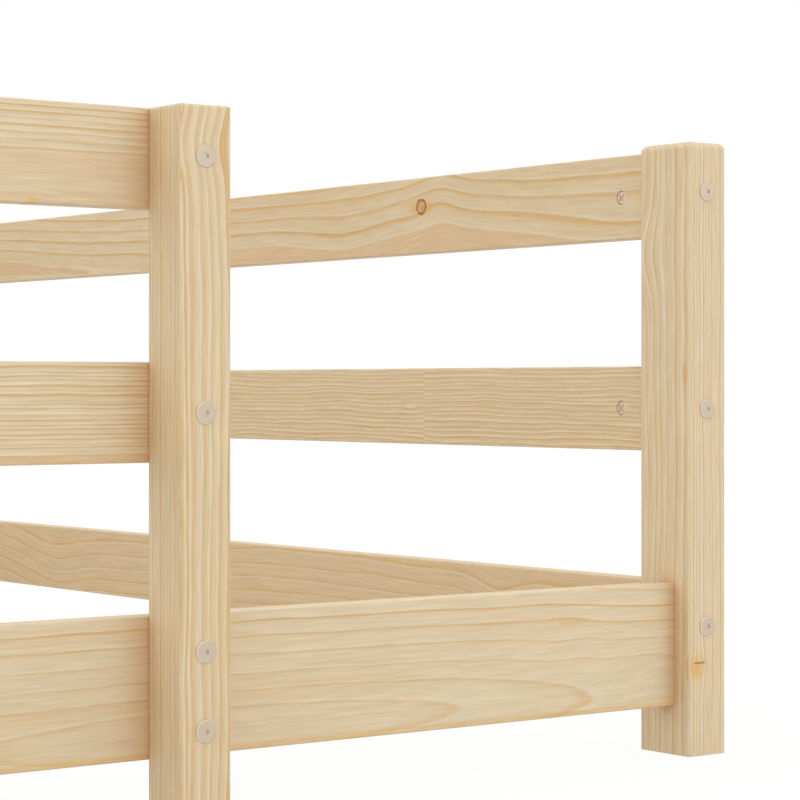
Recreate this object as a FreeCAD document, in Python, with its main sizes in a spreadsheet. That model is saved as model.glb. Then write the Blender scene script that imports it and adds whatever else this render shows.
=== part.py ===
import FreeCAD, Part
import math
import os
import Sketcher

# Floor bed of solid pine for children, with the mattress lying on the floor inside it.
# Four corner posts carry three rails at each end and, on each long side, two guard rails over a side board.
# At the front the guard rails stop at the entry post, so that the child steps in over the side board alone.
# Planks butt against the corner posts and are drawn tight by bolts that run into barrel nuts.
# The origin is on the floor under the middle of the bed: +X to the right, +Y to the back, +Z up, millimetres.

SIZES = {
    # The mattress that the bed is made for, and the play that it has each way
    "mattress_length": 2000,
    "mattress_width": 1400,
    "mattress_play": 10,
    # Corner posts, the rounding of their tops, and how far they stand above the top rails
    "corner_post_width": 40.5,
    "corner_post_depth": 58,
    "corner_post_round": 6,
    "corner_post_rise": 5,
    # Middle posts, which stand outside the planks of the long sides
    "middle_post_width": 41.5,
    "middle_post_depth": 42,
    "middle_post_round": 2,
    # Planks: one thickness for all, set back from the outer faces of the corner posts
    "plank_thickness": 18,
    "plank_setback": 18,
    "rail_height": 70.5,
    "board_height": 100.5,
    "edge_ease": 1.5,
    # Heights up the side of the bed, and the way in
    "floor_gap": 40,
    "rail_gap": 107,
    "entry_gap": 460,
    # Connector bolts with a flat head and a hex socket
    "shank_diameter": 6,
    "shank_clearance": 0.25,
    "thread_clearance": 0.05,
    "tip_ease": 0.8,
    "tail_length": 7,
    "head_diameter": 16,
    "head_thickness": 1.3,
    "head_ease": 0.8,
    "socket_width": 3,
    "socket_depth": 0.8,
    # Where the bolts lie in the plank ends
    "board_bolt_spacing": 55,
    "side_bolt_rise": 14,
    # Barrel nuts with a cross slot, let into the inner faces of the planks
    "nut_diameter": 11.6,
    "nut_length": 14,
    "nut_recess": 0,
    "nut_distance": 36,
    "nut_clearance": 0.2,
    "nut_ease": 0.8,
    "nut_slot_length": 7,
    "nut_slot_width": 1.5,
    "nut_slot_depth": 1,
    # Sleeve nuts of the middle posts
    "sleeve_diameter": 9,
    "sleeve_length": 12,
    "sleeve_clearance": 0.2,
    "sleeve_head_diameter": 15,
    "sleeve_head_thickness": 2,
    "sleeve_head_ease": 0.5,
    "sleeve_socket_depth": 1.4,
    "sleeve_skin": 1.5,
    "sleeve_tip_gap": 3,
    # Wooden dowels beside the bolts
    "dowel_diameter": 8,
    "dowel_length": 40,
    "dowel_clearance": 0.15,
    "dowel_ease": 1,
    "end_dowel_offset": 20,
    "side_dowel_drop": 16,
    # Room at the bottom of a blind hole, and how far a cut runs past a face
    "hole_end_gap": 1,
    "cut_overrun": 5,
}

# Places that follow from the sizes
LAYOUT = {
    "inner_half_length": "(sizes.mattress_length + sizes.mattress_play) / 2",
    "half_length": "inner_half_length + sizes.corner_post_width",
    "inner_half_width": "(sizes.mattress_width + sizes.mattress_play) / 2",
    "plank_front": "inner_half_width + sizes.plank_thickness",
    "half_width": "plank_front + sizes.plank_setback",
    "end_length": "2 * (half_width - sizes.corner_post_depth)",
    "side_length": "2 * inner_half_length",
    "plank_middle": "inner_half_width + sizes.plank_thickness / 2",
    "end_rail_middle": "half_length - sizes.corner_post_width / 2",
    "end_rail_front": "end_rail_middle + sizes.plank_thickness / 2",
    "board_top": "sizes.floor_gap + sizes.board_height",
    "bottom_rail_bottom": "board_top - sizes.rail_height",
    "middle_rail_bottom": "board_top + sizes.rail_gap",
    "top_rail_bottom": "middle_rail_bottom + sizes.rail_height + sizes.rail_gap",
    "middle_post_height": "top_rail_bottom + sizes.rail_height",
    "corner_post_height": "middle_post_height + sizes.corner_post_rise",
    "entry_post_middle": "inner_half_length - sizes.entry_gap - sizes.middle_post_width / 2",
    "guard_length": "inner_half_length + entry_post_middle + sizes.middle_post_width / 2",
    "shank_hole": "sizes.shank_diameter + 2 * sizes.shank_clearance",
    "thread_hole": "sizes.shank_diameter + 2 * sizes.thread_clearance",
    "shank_hole_depth": "sizes.nut_distance + sizes.tail_length + sizes.hole_end_gap",
    "end_shank_length": "sizes.corner_post_depth + sizes.nut_distance + sizes.tail_length",
    "side_shank_length": "sizes.corner_post_width + sizes.nut_distance + sizes.tail_length",
    "post_shank_length": "sizes.middle_post_depth + sizes.plank_thickness - sizes.sleeve_tip_gap",
    "nut_hole": "sizes.nut_diameter + 2 * sizes.nut_clearance",
    "nut_top": "sizes.plank_thickness / 2 - sizes.nut_recess",
    "nut_hole_depth": "sizes.nut_recess + sizes.nut_length",
    "sleeve_hole": "sizes.sleeve_diameter + 2 * sizes.sleeve_clearance",
    "dowel_hole": "sizes.dowel_diameter + 2 * sizes.dowel_clearance",
    "dowel_hole_depth": "sizes.dowel_length / 2 + sizes.hole_end_gap",
}

doc = FreeCAD.newDocument("floor_bed")


def new_sheet(name, cells):
    """A sheet with one named cell to a row."""
    sheet = doc.addObject("Spreadsheet::Sheet", name)
    for row, (alias, content) in enumerate(cells.items(), start=1):
        sheet.set(f"A{row}", alias)
        sheet.setAlias(f"B{row}", alias)
        sheet.set(f"B{row}", content)
    doc.recompute()
    return sheet


sizes = new_sheet("sizes", {alias: str(number) for alias, number in SIZES.items()})
layout = new_sheet("layout", {alias: "=" + formula for alias, formula in LAYOUT.items()})

# Every sub-part that is written out, in the order of making
pieces = []

# The plane of a body that lies square to each of its axes
PLANE_ROLES = {"X": "YZ_Plane", "Y": "XZ_Plane", "Z": "XY_Plane"}


def value(formula):
    """What a formula of named sizes comes to, in millimetres."""
    return float(layout.evalExpression(formula))


def new_body(label):
    """A body that is one sub-part of the bed, or the pattern for a kind of fastener."""
    body = doc.addObject("PartDesign::Body", label)
    body.Label = label
    return body


def place(piece, x, y, z, rotation):
    """Stand a piece at a place given by three formulas."""
    piece.Placement = FreeCAD.Placement(FreeCAD.Vector(), rotation)
    for axis, formula in zip("xyz", (x, y, z)):
        piece.setExpression(f"Placement.Base.{axis}", formula)


def sketch_across(body, axis, name, reach="0", spin=0):
    """A sketch square to one axis of its body, at the coordinate that a formula gives."""
    sketch = body.newObject("Sketcher::SketchObject", name)
    plane = next(item for item in body.Origin.OriginFeatures if item.Role == PLANE_ROLES[axis])
    sketch.AttachmentSupport = [(plane, "")]
    sketch.MapMode = "FlatFace"
    turn = FreeCAD.Rotation(FreeCAD.Vector(0, 0, 1), spin)
    sketch.AttachmentOffset = FreeCAD.Placement(FreeCAD.Vector(), turn)
    # The plane square to Y looks along -Y, the other two along their own axis
    offset = f"-({reach})" if axis == "Y" else reach
    sketch.setExpression("AttachmentOffset.Base.z", offset)
    return sketch


def pin(sketch, edge, point, across, up):
    """Tie one point of a sketch to its place, given by two formulas."""
    for kind, formula in (("DistanceX", across), ("DistanceY", up)):
        number = sketch.addConstraint(Sketcher.Constraint(kind, -1, 1, edge, point, value(formula)))
        sketch.setExpression(f"Constraints[{number}]", formula)


def draw_outline(sketch, corners):
    """A closed outline of straight edges through corners given by formulas."""
    points = [FreeCAD.Vector(value(across), value(up), 0) for across, up in corners]
    ends = points[1:] + points[:1]
    edges = [sketch.addGeometry(Part.LineSegment(start, end)) for start, end in zip(points, ends)]
    for edge, after in zip(edges, edges[1:] + edges[:1]):
        sketch.addConstraint(Sketcher.Constraint("Coincident", edge, 2, after, 1))
    for edge, (across, up) in zip(edges, corners):
        pin(sketch, edge, 1, across, up)


def draw_circle(sketch, across, up, diameter):
    """A circle whose middle and diameter are formulas."""
    middle = FreeCAD.Vector(value(across), value(up), 0)
    edge = sketch.addGeometry(Part.Circle(middle, FreeCAD.Vector(0, 0, 1), value(diameter) / 2))
    number = sketch.addConstraint(Sketcher.Constraint("Diameter", edge, value(diameter)))
    sketch.setExpression(f"Constraints[{number}]", diameter)
    pin(sketch, edge, 3, across, up)


def draw_hexagon(sketch, across_flats):
    """A hexagon about the sketch's origin, with two sides upright."""
    half = f"{across_flats} / 2"
    corner = f"{across_flats} / sqrt(3)"
    corners = [
        ("0", corner),
        (f"-{half}", f"{corner} / 2"),
        (f"-{half}", f"-{corner} / 2"),
        ("0", f"-{corner}"),
        (half, f"-{corner} / 2"),
        (half, f"{corner} / 2"),
    ]
    draw_outline(sketch, corners)


def draw_rounding_waste(sketch, width, height, radius, at_right):
    """What a rounding cutter takes off one top corner of an upright rectangle."""
    over = "sizes.cut_overrun"
    side, inset = (width, f"{width} - {radius}") if at_right else ("0", radius)
    past = f"{width} + {over}" if at_right else f"-{over}"
    corners = [
        (side, f"{height} - {radius}"),
        (past, f"{height} - {radius}"),
        (past, f"{height} + {over}"),
        (inset, f"{height} + {over}"),
        (inset, height),
    ]
    points = [FreeCAD.Vector(value(across), value(up), 0) for across, up in corners]
    edges = [sketch.addGeometry(Part.LineSegment(a, b)) for a, b in zip(points, points[1:])]
    middle = FreeCAD.Vector(value(inset), value(corners[0][1]), 0)
    circle = Part.Circle(middle, FreeCAD.Vector(0, 0, 1), value(radius))
    start, end = (0, 90) if at_right else (90, 180)
    arc = sketch.addGeometry(Part.ArcOfCircle(circle, math.radians(start), math.radians(end)))
    side_point, top_point = (1, 2) if at_right else (2, 1)
    for edge, after in zip(edges, edges[1:]):
        sketch.addConstraint(Sketcher.Constraint("Coincident", edge, 2, after, 1))
    sketch.addConstraint(Sketcher.Constraint("Coincident", arc, side_point, edges[0], 1))
    sketch.addConstraint(Sketcher.Constraint("Coincident", arc, top_point, edges[-1], 2))
    for edge, (across, up) in zip(edges, corners):
        pin(sketch, edge, 1, across, up)
    pin(sketch, edges[-1], 2, *corners[-1])
    number = sketch.addConstraint(Sketcher.Constraint("Radius", arc, value(radius)))
    sketch.setExpression(f"Constraints[{number}]", radius)


def pad(body, sketch, name, length):
    """Raise a sketch along its own axis."""
    feature = body.newObject("PartDesign::Pad", name)
    feature.Profile = sketch
    feature.setExpression("Length", length)
    doc.recompute()


def cut(body, sketch, name, depth=None, forward=True):
    """Cut a sketch into its body along the sketch's axis, or right through it where no depth is given."""
    before = body.Shape.Volume
    feature = body.newObject("PartDesign::Pocket", name)
    feature.Profile = sketch
    if depth is None:
        feature.Type = "ThroughAll"
        feature.SideType = "Symmetric"
    else:
        square_to_y = sketch.AttachmentSupport[0][0].Role == PLANE_ROLES["Y"]
        feature.Reversed = forward != square_to_y
        feature.setExpression("Length", depth)
    doc.recompute()
    if not body.Shape.Volume < before:
        raise RuntimeError(f"{name} took nothing off {body.Label}")


def drill(body, axis, name, spots, diameter, depth=None, reach="0", forward=True):
    """Round holes along one axis of a body, from the coordinate that a formula gives."""
    sketch = sketch_across(body, axis, name + "_spots", reach)
    for across, up in spots:
        draw_circle(sketch, across, up, diameter)
    cut(body, sketch, name, depth, forward)


def ease_edges(body, name, axis):
    """Round over the long edges of a body that run along one axis."""
    along = {"X": FreeCAD.Vector(1, 0, 0), "Z": FreeCAD.Vector(0, 0, 1)}[axis]
    edges = []
    for number, edge in enumerate(body.Shape.Edges, start=1):
        direction = edge.Vertexes[-1].Point - edge.Vertexes[0].Point
        if direction.cross(along).Length < direction.Length / 2:
            edges.append(f"Edge{number}")
    stock = body.Tip
    feature = body.newObject("PartDesign::Fillet", name)
    feature.Base = (stock, edges)
    feature.setExpression("Radius", "sizes.edge_ease")
    doc.recompute()


class Level:
    """A height at which planks run: its lower edge and the holes of its fasteners above that edge."""

    def __init__(self, bottom, height, bolts, dowels, post_bolts):
        self.bottom = bottom
        self.height = height
        self.bolts = bolts
        self.dowels = dowels
        self.post_bolts = post_bolts

    def above_floor(self, rises):
        """Heights above the floor of places given above the lower edge."""
        return [f"{self.bottom} + {rise}" for rise in rises]

    def bolt_heights(self):
        return self.above_floor(self.bolts)

    def dowel_heights(self):
        return self.above_floor(self.dowels)

    def post_bolt_heights(self):
        return self.above_floor(self.post_bolts)


RAIL_MIDDLE = "sizes.rail_height / 2"
BOARD_MIDDLE = "sizes.board_height / 2"
BOARD_BOLTS = [f"{BOARD_MIDDLE} {sign} sizes.board_bolt_spacing / 2" for sign in "-+"]
END_DOWELS = [f"{RAIL_MIDDLE} {sign} sizes.end_dowel_offset" for sign in "-+"]
# Bolts of the side rails lie above those of the end rails, which cross them inside the corner posts
SIDE_BOLTS = [RAIL_MIDDLE + " + sizes.side_bolt_rise"]
SIDE_DOWELS = [RAIL_MIDDLE + " - sizes.side_dowel_drop"]


def end_rail_level(bottom):
    return Level(bottom, "sizes.rail_height", [RAIL_MIDDLE], END_DOWELS, [])


def side_rail_level(bottom):
    return Level(bottom, "sizes.rail_height", SIDE_BOLTS, SIDE_DOWELS, [RAIL_MIDDLE])


END_LEVELS = {
    "top_rail": end_rail_level("layout.top_rail_bottom"),
    "middle_rail": end_rail_level("layout.middle_rail_bottom"),
    "bottom_rail": end_rail_level("layout.bottom_rail_bottom"),
}
SIDE_LEVELS = {
    "top_rail": side_rail_level("layout.top_rail_bottom"),
    "middle_rail": side_rail_level("layout.middle_rail_bottom"),
    "side_board": Level("sizes.floor_gap", "sizes.board_height", BOARD_BOLTS, [BOARD_MIDDLE], BOARD_BOLTS),
}


def turned(quarters):
    """A turn about the vertical by a number of right angles."""
    return FreeCAD.Rotation(FreeCAD.Vector(0, 0, 1), 90 * quarters)


# Posts

def post_blank(label, width, depth, height, radius):
    """A square-cut post with eased upright edges and all four edges of its top rounded over."""
    body = new_body(label)
    foot = sketch_across(body, "Z", label + "_foot")
    draw_outline(foot, [("0", "0"), (width, "0"), (width, depth), ("0", depth)])
    pad(body, foot, label + "_stock", height)
    ease_edges(body, label + "_eased", "Z")
    for axis, across in (("Y", width), ("X", depth)):
        waste = sketch_across(body, axis, f"{label}_top_waste_{axis}")
        for at_right in (False, True):
            draw_rounding_waste(waste, across, height, radius, at_right)
        cut(body, waste, f"{label}_top_round_{axis}")
    pieces.append(body)
    return body


def corner_post(label, inner_at_low_x, side_levels):
    """A corner post, with its outer face at y = 0 and the end rails on its far side."""
    width, depth = "sizes.corner_post_width", "sizes.corner_post_depth"
    body = post_blank(label, width, depth, "layout.corner_post_height", "sizes.corner_post_round")
    centre = f"{width} / 2"
    end_levels = END_LEVELS.values()
    end_bolts = [(centre, up) for level in end_levels for up in level.bolt_heights()]
    end_dowels = [(centre, up) for level in end_levels for up in level.dowel_heights()]
    drill(body, "Y", label + "_end_bolt_holes", end_bolts, "layout.shank_hole")
    drill(body, "Y", label + "_end_dowel_holes", end_dowels, "layout.dowel_hole",
          "layout.dowel_hole_depth", reach=depth, forward=False)
    middle = "sizes.plank_setback + sizes.plank_thickness / 2"
    side_bolts = [(middle, up) for level in side_levels for up in level.bolt_heights()]
    side_dowels = [(middle, up) for level in side_levels for up in level.dowel_heights()]
    drill(body, "X", label + "_side_bolt_holes", side_bolts, "layout.shank_hole")
    drill(body, "X", label + "_side_dowel_holes", side_dowels, "layout.dowel_hole",
          "layout.dowel_hole_depth", reach="0" if inner_at_low_x else width, forward=inner_at_low_x)
    return body


def middle_post(label):
    """A post outside the planks of a long side, with its outer face at y = 0."""
    width = "sizes.middle_post_width"
    body = post_blank(label, width, "sizes.middle_post_depth", "layout.middle_post_height",
                      "sizes.middle_post_round")
    centre = f"{width} / 2"
    spots = [(centre, up) for level in SIDE_LEVELS.values() for up in level.post_bolt_heights()]
    drill(body, "Y", label + "_bolt_holes", spots, "layout.shank_hole")
    return body


every_level = list(SIDE_LEVELS.values())
board_alone = [SIDE_LEVELS["side_board"]]

post = corner_post("front_left_corner_post", False, every_level)
place(post, "-layout.half_length", "-layout.half_width", "0", turned(0))
post = corner_post("front_right_corner_post", True, board_alone)
place(post, "layout.inner_half_length", "-layout.half_width", "0", turned(0))
post = corner_post("back_left_corner_post", True, every_level)
place(post, "-layout.inner_half_length", "layout.half_width", "0", turned(2))
post = corner_post("back_right_corner_post", False, every_level)
place(post, "layout.half_length", "layout.half_width", "0", turned(2))

post = middle_post("entry_post")
place(post, "layout.entry_post_middle - sizes.middle_post_width / 2",
      "-layout.plank_front - sizes.middle_post_depth", "0", turned(0))
post = middle_post("back_middle_post")
place(post, "sizes.middle_post_width / 2", "layout.plank_front + sizes.middle_post_depth", "0", turned(2))


# Planks

def plank(label, level, length, fixed_ends, crossing=None):
    """A plank along x, its outer face at y = 0, bolted at its ends and to the middle post it may cross."""
    body = new_body(label)
    thickness = "sizes.plank_thickness"
    section = sketch_across(body, "X", label + "_section")
    draw_outline(section, [("0", "0"), (thickness, "0"), (thickness, level.height), ("0", level.height)])
    pad(body, section, label + "_stock", length)
    ease_edges(body, label + "_eased", "X")
    bolts = [(f"{thickness} / 2", up) for up in level.bolts]
    dowels = [(f"{thickness} / 2", up) for up in level.dowels]
    nuts = []
    for end in fixed_ends:
        near = end == "near"
        reach = "0" if near else length
        drill(body, "X", f"{label}_{end}_bolt_holes", bolts, "layout.shank_hole",
              "layout.shank_hole_depth", reach, forward=near)
        drill(body, "X", f"{label}_{end}_dowel_holes", dowels, "layout.dowel_hole",
              "layout.dowel_hole_depth", reach, forward=near)
        along = "sizes.nut_distance" if near else f"{length} - sizes.nut_distance"
        nuts += [(along, up) for up in level.bolts]
    drill(body, "Y", label + "_nut_holes", nuts, "layout.nut_hole",
          "layout.nut_hole_depth", reach=thickness, forward=False)
    if crossing:
        spots = [(crossing, up) for up in level.post_bolts]
        drill(body, "Y", label + "_sleeve_holes", spots, "layout.sleeve_hole")
    pieces.append(body)
    return body


BOTH_ENDS = ("near", "far")
entry_crossing = "layout.inner_half_length + layout.entry_post_middle"

for name, level in SIDE_LEVELS.items():
    guard = name != "side_board"
    length = "layout.guard_length" if guard else "layout.side_length"
    ends = ("near",) if guard else BOTH_ENDS
    piece = plank("front_" + name, level, length, ends, entry_crossing)
    place(piece, "-layout.inner_half_length", "-layout.plank_front", level.bottom, turned(0))

for name, level in SIDE_LEVELS.items():
    piece = plank("back_" + name, level, "layout.side_length", BOTH_ENDS, "layout.inner_half_length")
    place(piece, "layout.inner_half_length", "layout.plank_front", level.bottom, turned(2))

for name, level in END_LEVELS.items():
    piece = plank("left_end_" + name, level, "layout.end_length", BOTH_ENDS)
    place(piece, "-layout.end_rail_front", "layout.end_length / 2", level.bottom, turned(-1))
    piece = plank("right_end_" + name, level, "layout.end_length", BOTH_ENDS)
    place(piece, "layout.end_rail_front", "-layout.end_length / 2", level.bottom, turned(1))


# Patterns for the fasteners, each with its outer end towards +z

def turn_profile(label, corners):
    """A round piece made by turning half its outline about z."""
    body = new_body(label)
    profile = sketch_across(body, "Y", label + "_profile")
    draw_outline(profile, corners)
    feature = body.newObject("PartDesign::Revolution", label + "_turned")
    feature.Profile = profile
    feature.ReferenceAxis = (profile, ["V_Axis"])
    doc.recompute()
    return body


def bolt_pattern(label, length):
    """A connector bolt whose head sits on z = 0, with its shank below."""
    shank, head = "sizes.shank_diameter / 2", "sizes.head_diameter / 2"
    body = turn_profile(label, [
        ("0", f"-{length}"),
        (f"{shank} - sizes.tip_ease", f"-{length}"),
        (shank, f"sizes.tip_ease - {length}"),
        (shank, "0"),
        (head, "0"),
        (head, "sizes.head_thickness - sizes.head_ease"),
        (f"{head} - sizes.head_ease", "sizes.head_thickness"),
        ("0", "sizes.head_thickness"),
    ])
    socket = sketch_across(body, "Z", label + "_socket_outline", "sizes.head_thickness")
    draw_hexagon(socket, "sizes.socket_width")
    cut(body, socket, label + "_socket", "sizes.socket_depth", forward=False)
    return body


def barrel_nut_pattern():
    """A barrel nut about the axis of its bolt, which runs along x."""
    label = "barrel_nut"
    radius, top = "sizes.nut_diameter / 2", "layout.nut_top"
    bottom = f"{top} - sizes.nut_length"
    body = turn_profile(label, [
        ("0", bottom),
        (f"{radius} - sizes.nut_ease", bottom),
        (radius, f"{bottom} + sizes.nut_ease"),
        (radius, f"{top} - sizes.nut_ease"),
        (f"{radius} - sizes.nut_ease", top),
        ("0", top),
    ])
    drill(body, "X", label + "_thread", [("0", "0")], "layout.thread_hole")
    # The cross slot stands aslant to the bolt
    slot = sketch_across(body, "Z", label + "_slot_outline", top, spin=45)
    arm, side = "sizes.nut_slot_length / 2", "sizes.nut_slot_width / 2"
    draw_outline(slot, [
        (side, side), (side, arm), (f"-{side}", arm), (f"-{side}", side),
        (f"-{arm}", side), (f"-{arm}", f"-{side}"), (f"-{side}", f"-{side}"), (f"-{side}", f"-{arm}"),
        (side, f"-{arm}"), (side, f"-{side}"), (arm, f"-{side}"), (arm, side),
    ])
    cut(body, slot, label + "_slot", "sizes.nut_slot_depth", forward=False)
    return body


def sleeve_nut_pattern():
    """A sleeve nut whose head sits on z = 0, with its closed sleeve below."""
    label = "sleeve_nut"
    bore = "layout.thread_hole / 2"
    sleeve = "sizes.sleeve_diameter / 2"
    head = "sizes.sleeve_head_diameter / 2"
    body = turn_profile(label, [
        (bore, "-sizes.sleeve_length"),
        (sleeve, "-sizes.sleeve_length"),
        (sleeve, "0"),
        (head, "0"),
        (head, "sizes.sleeve_head_thickness - sizes.sleeve_head_ease"),
        (f"{head} - sizes.sleeve_head_ease", "sizes.sleeve_head_thickness"),
        ("0", "sizes.sleeve_head_thickness"),
        ("0", "-sizes.sleeve_skin"),
        (bore, "-sizes.sleeve_skin"),
    ])
    socket = sketch_across(body, "Z", label + "_socket_outline", "sizes.sleeve_head_thickness")
    draw_hexagon(socket, "sizes.socket_width")
    cut(body, socket, label + "_socket", "sizes.sleeve_socket_depth", forward=False)
    return body


def dowel_pattern():
    """A wooden dowel with its middle at the origin."""
    radius, half = "sizes.dowel_diameter / 2", "sizes.dowel_length / 2"
    return turn_profile("dowel", [
        ("0", f"-{half}"),
        (f"{radius} - sizes.dowel_ease", f"-{half}"),
        (radius, f"sizes.dowel_ease - {half}"),
        (radius, f"{half} - sizes.dowel_ease"),
        (f"{radius} - sizes.dowel_ease", half),
        ("0", half),
    ])


end_bolt = bolt_pattern("end_bolt", "layout.end_shank_length")
side_bolt = bolt_pattern("side_bolt", "layout.side_shank_length")
post_bolt = bolt_pattern("post_bolt", "layout.post_shank_length")
barrel_nut = barrel_nut_pattern()
sleeve_nut = sleeve_nut_pattern()
dowel = dowel_pattern()


# Fasteners in place

def facing(direction, along):
    """The turn that points a fastener's outer end one way and its own x axis another."""
    return FreeCAD.Rotation(along, FreeCAD.Vector(), direction, "ZXY")


def fastener_group(label, seats):
    """A node of like fasteners: each seat has a pattern, three formulas for its place, and a turn."""
    copies = []
    for number, (pattern, spot, turn) in enumerate(seats, start=1):
        copy = doc.addObject("App::Link", f"{label}_{number}")
        copy.LinkedObject = pattern
        place(copy, *spot, turn)
        copies.append(copy)
    group = doc.addObject("Part::Compound", label)
    group.Label = label
    group.Links = copies
    pieces.append(group)


def corner_fasteners(corner, right, back, side_levels):
    """Bolts, barrel nuts and dowels of one corner."""
    to_side, to_back = (1 if right else -1), (1 if back else -1)
    # An outward turn along each axis, and the sign that carries a formula to this corner
    outward_x, outward_y = FreeCAD.Vector(to_side, 0, 0), FreeCAD.Vector(0, to_back, 0)
    x_sign, y_sign = ("" if right else "-"), ("" if back else "-")

    def at(x, y, z):
        return f"{x_sign}({x})", f"{y_sign}({y})", z

    end_x = "layout.end_rail_middle"
    end_face = "layout.half_width - sizes.corner_post_depth"
    end_nut_y = end_face + " - sizes.nut_distance"
    side_y = "layout.plank_middle"
    side_face = "layout.inner_half_length"
    side_nut_x = side_face + " - sizes.nut_distance"
    end_bolts, side_bolts, nuts, dowels = [], [], [], []
    for level in END_LEVELS.values():
        for up in level.bolt_heights():
            end_bolts.append((end_bolt, at(end_x, "layout.half_width", up), facing(outward_y, outward_x)))
            nuts.append((barrel_nut, at(end_x, end_nut_y, up), facing(-outward_x, outward_y)))
        for up in level.dowel_heights():
            dowels.append((dowel, at(end_x, end_face, up), facing(outward_y, outward_x)))
    for level in side_levels:
        for up in level.bolt_heights():
            side_bolts.append((side_bolt, at("layout.half_length", side_y, up), facing(outward_x, outward_y)))
            nuts.append((barrel_nut, at(side_nut_x, side_y, up), facing(-outward_y, outward_x)))
        for up in level.dowel_heights():
            dowels.append((dowel, at(side_face, side_y, up), facing(outward_x, outward_y)))
    fastener_group(corner + "_end_bolts", end_bolts)
    fastener_group(corner + "_side_bolts", side_bolts)
    fastener_group(corner + "_barrel_nuts", nuts)
    fastener_group(corner + "_dowels", dowels)


def post_fasteners(post_name, x, back):
    """Bolts through a middle post, and the sleeve nuts that they draw against the planks."""
    outward = FreeCAD.Vector(0, 1 if back else -1, 0)
    along = FreeCAD.Vector(1, 0, 0)
    sign = "" if back else "-"
    bolts, nuts = [], []
    for level in SIDE_LEVELS.values():
        for up in level.post_bolt_heights():
            outer = f"{sign}(layout.plank_front + sizes.middle_post_depth)"
            bolts.append((post_bolt, (x, outer, up), facing(outward, along)))
            nuts.append((sleeve_nut, (x, f"{sign}layout.inner_half_width", up), facing(-outward, along)))
    fastener_group(post_name + "_bolts", bolts)
    fastener_group(post_name + "_sleeve_nuts", nuts)


corner_fasteners("front_left", False, False, every_level)
corner_fasteners("front_right", True, False, board_alone)
corner_fasteners("back_left", False, True, every_level)
corner_fasteners("back_right", True, True, every_level)
post_fasteners("entry_post", "layout.entry_post_middle", False)
post_fasteners("back_middle_post", "0", True)

# Nothing is written unless every object came out whole

doc.recompute()
for item in doc.Objects:
    if "Invalid" in item.State or "Error" in item.State:
        raise RuntimeError(f"{item.Label} failed: {item.State}")
for piece in pieces:
    if piece.Shape.isNull() or not piece.Shape.isValid():
        raise RuntimeError(f"{piece.Label} has no sound shape")

os.makedirs("parts", exist_ok=True)
for piece in pieces:
    piece.Shape.exportStep(f"parts/{piece.Label}.step")
    box = piece.Shape.BoundBox
    lengths = " x ".join(f"{length:.1f}" for length in (box.XLength, box.YLength, box.ZLength))
    print(f"{piece.Label}: {len(piece.Shape.Solids)} solids, {lengths} mm")
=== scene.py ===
# %% [markdown]
# # A pine floor bed
# The bed is made of planed pine boards, bolted to six posts. Every board, bolt and nut comes from the
# construction model at its real size, so this lesson moves nothing. It sets up a camera, a floor and soft
# light, and then gives each piece of wood and metal a finish that is worked out by nodes.

# %% Load the bed
import math
import random
from dataclasses import dataclass

import bmesh
import bpy
from mathutils import Matrix, Vector


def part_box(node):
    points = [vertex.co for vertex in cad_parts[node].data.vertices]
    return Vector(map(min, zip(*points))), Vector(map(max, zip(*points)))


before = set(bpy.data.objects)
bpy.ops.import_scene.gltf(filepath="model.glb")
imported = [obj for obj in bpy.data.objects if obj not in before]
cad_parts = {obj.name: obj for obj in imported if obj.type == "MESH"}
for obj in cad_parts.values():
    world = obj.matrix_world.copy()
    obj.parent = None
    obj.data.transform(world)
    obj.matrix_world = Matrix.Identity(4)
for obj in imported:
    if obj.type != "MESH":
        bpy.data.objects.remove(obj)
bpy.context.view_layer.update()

scene = bpy.context.scene
scene.view_settings.view_transform = "Standard"
print("pieces in the bed:", len(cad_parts))

# %% [markdown]
# ## The camera
# The picture was taken level, from about a bed's width away and at the height of the middle rails.
# A level camera keeps the posts upright. The picture is framed a little low, and a lens shift does that
# without tipping the camera, as a view camera does.

# %% Camera
PICTURE_WIDTH = 800
SENSOR_WIDTH = 36.0
FOCAL_PIXELS = 2542.65
HORIZON_PIXEL = 387.33
EYE = (-0.4286, -2.2452, 0.3003)
HEADING = math.radians(37.137)

camera_data = bpy.data.cameras.new("camera")
camera_data.sensor_width = SENSOR_WIDTH
camera_data.lens = FOCAL_PIXELS / PICTURE_WIDTH * SENSOR_WIDTH
camera_data.shift_y = (HORIZON_PIXEL - PICTURE_WIDTH / 2) / PICTURE_WIDTH
camera = bpy.data.objects.new("camera", camera_data)
camera.location = EYE
camera.rotation_euler = (math.radians(90), 0, -HEADING)
scene.collection.objects.link(camera)
scene.camera = camera
print("lens in millimetres:", round(camera_data.lens, 1))

# %% [markdown]
# ## Small helpers for nodes
# A material is a tree of nodes. Building a tree in code soon gets long, so short helpers do the repeated
# work. The first two add a node and feed it, and the next two add one sum each.

# %% Helpers that add nodes
def feed(tree, socket, source):
    """Give a socket a link where the source is a socket, and a plain value otherwise."""
    if isinstance(source, bpy.types.NodeSocket):
        tree.links.new(source, socket)
    else:
        socket.default_value = source


def put(tree, kind, inputs=None, **settings):
    """Add a node, with its settings and with what feeds its inputs."""
    made = tree.nodes.new(kind)
    for name, setting in settings.items():
        setattr(made, name, setting)
    for key, source in (inputs or {}).items():
        feed(tree, made.inputs[key], source)
    return made


def calc(tree, operation, *terms):
    """One sum of numbers."""
    return put(tree, "ShaderNodeMath", dict(enumerate(terms)), operation=operation).outputs[0]


def vector_calc(tree, operation, *terms):
    """One sum of vectors."""
    return put(tree, "ShaderNodeVectorMath", dict(enumerate(terms)), operation=operation).outputs[0]


print("helpers that add nodes are ready")

# %% [markdown]
# ## Helpers for patterns and colours
# Wood is a mix of soft steps, noise and colours, so these get helpers too. A colour is written as a paint
# program shows it; nodes work in amounts of light, and `paint` turns one into the other.

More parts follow.
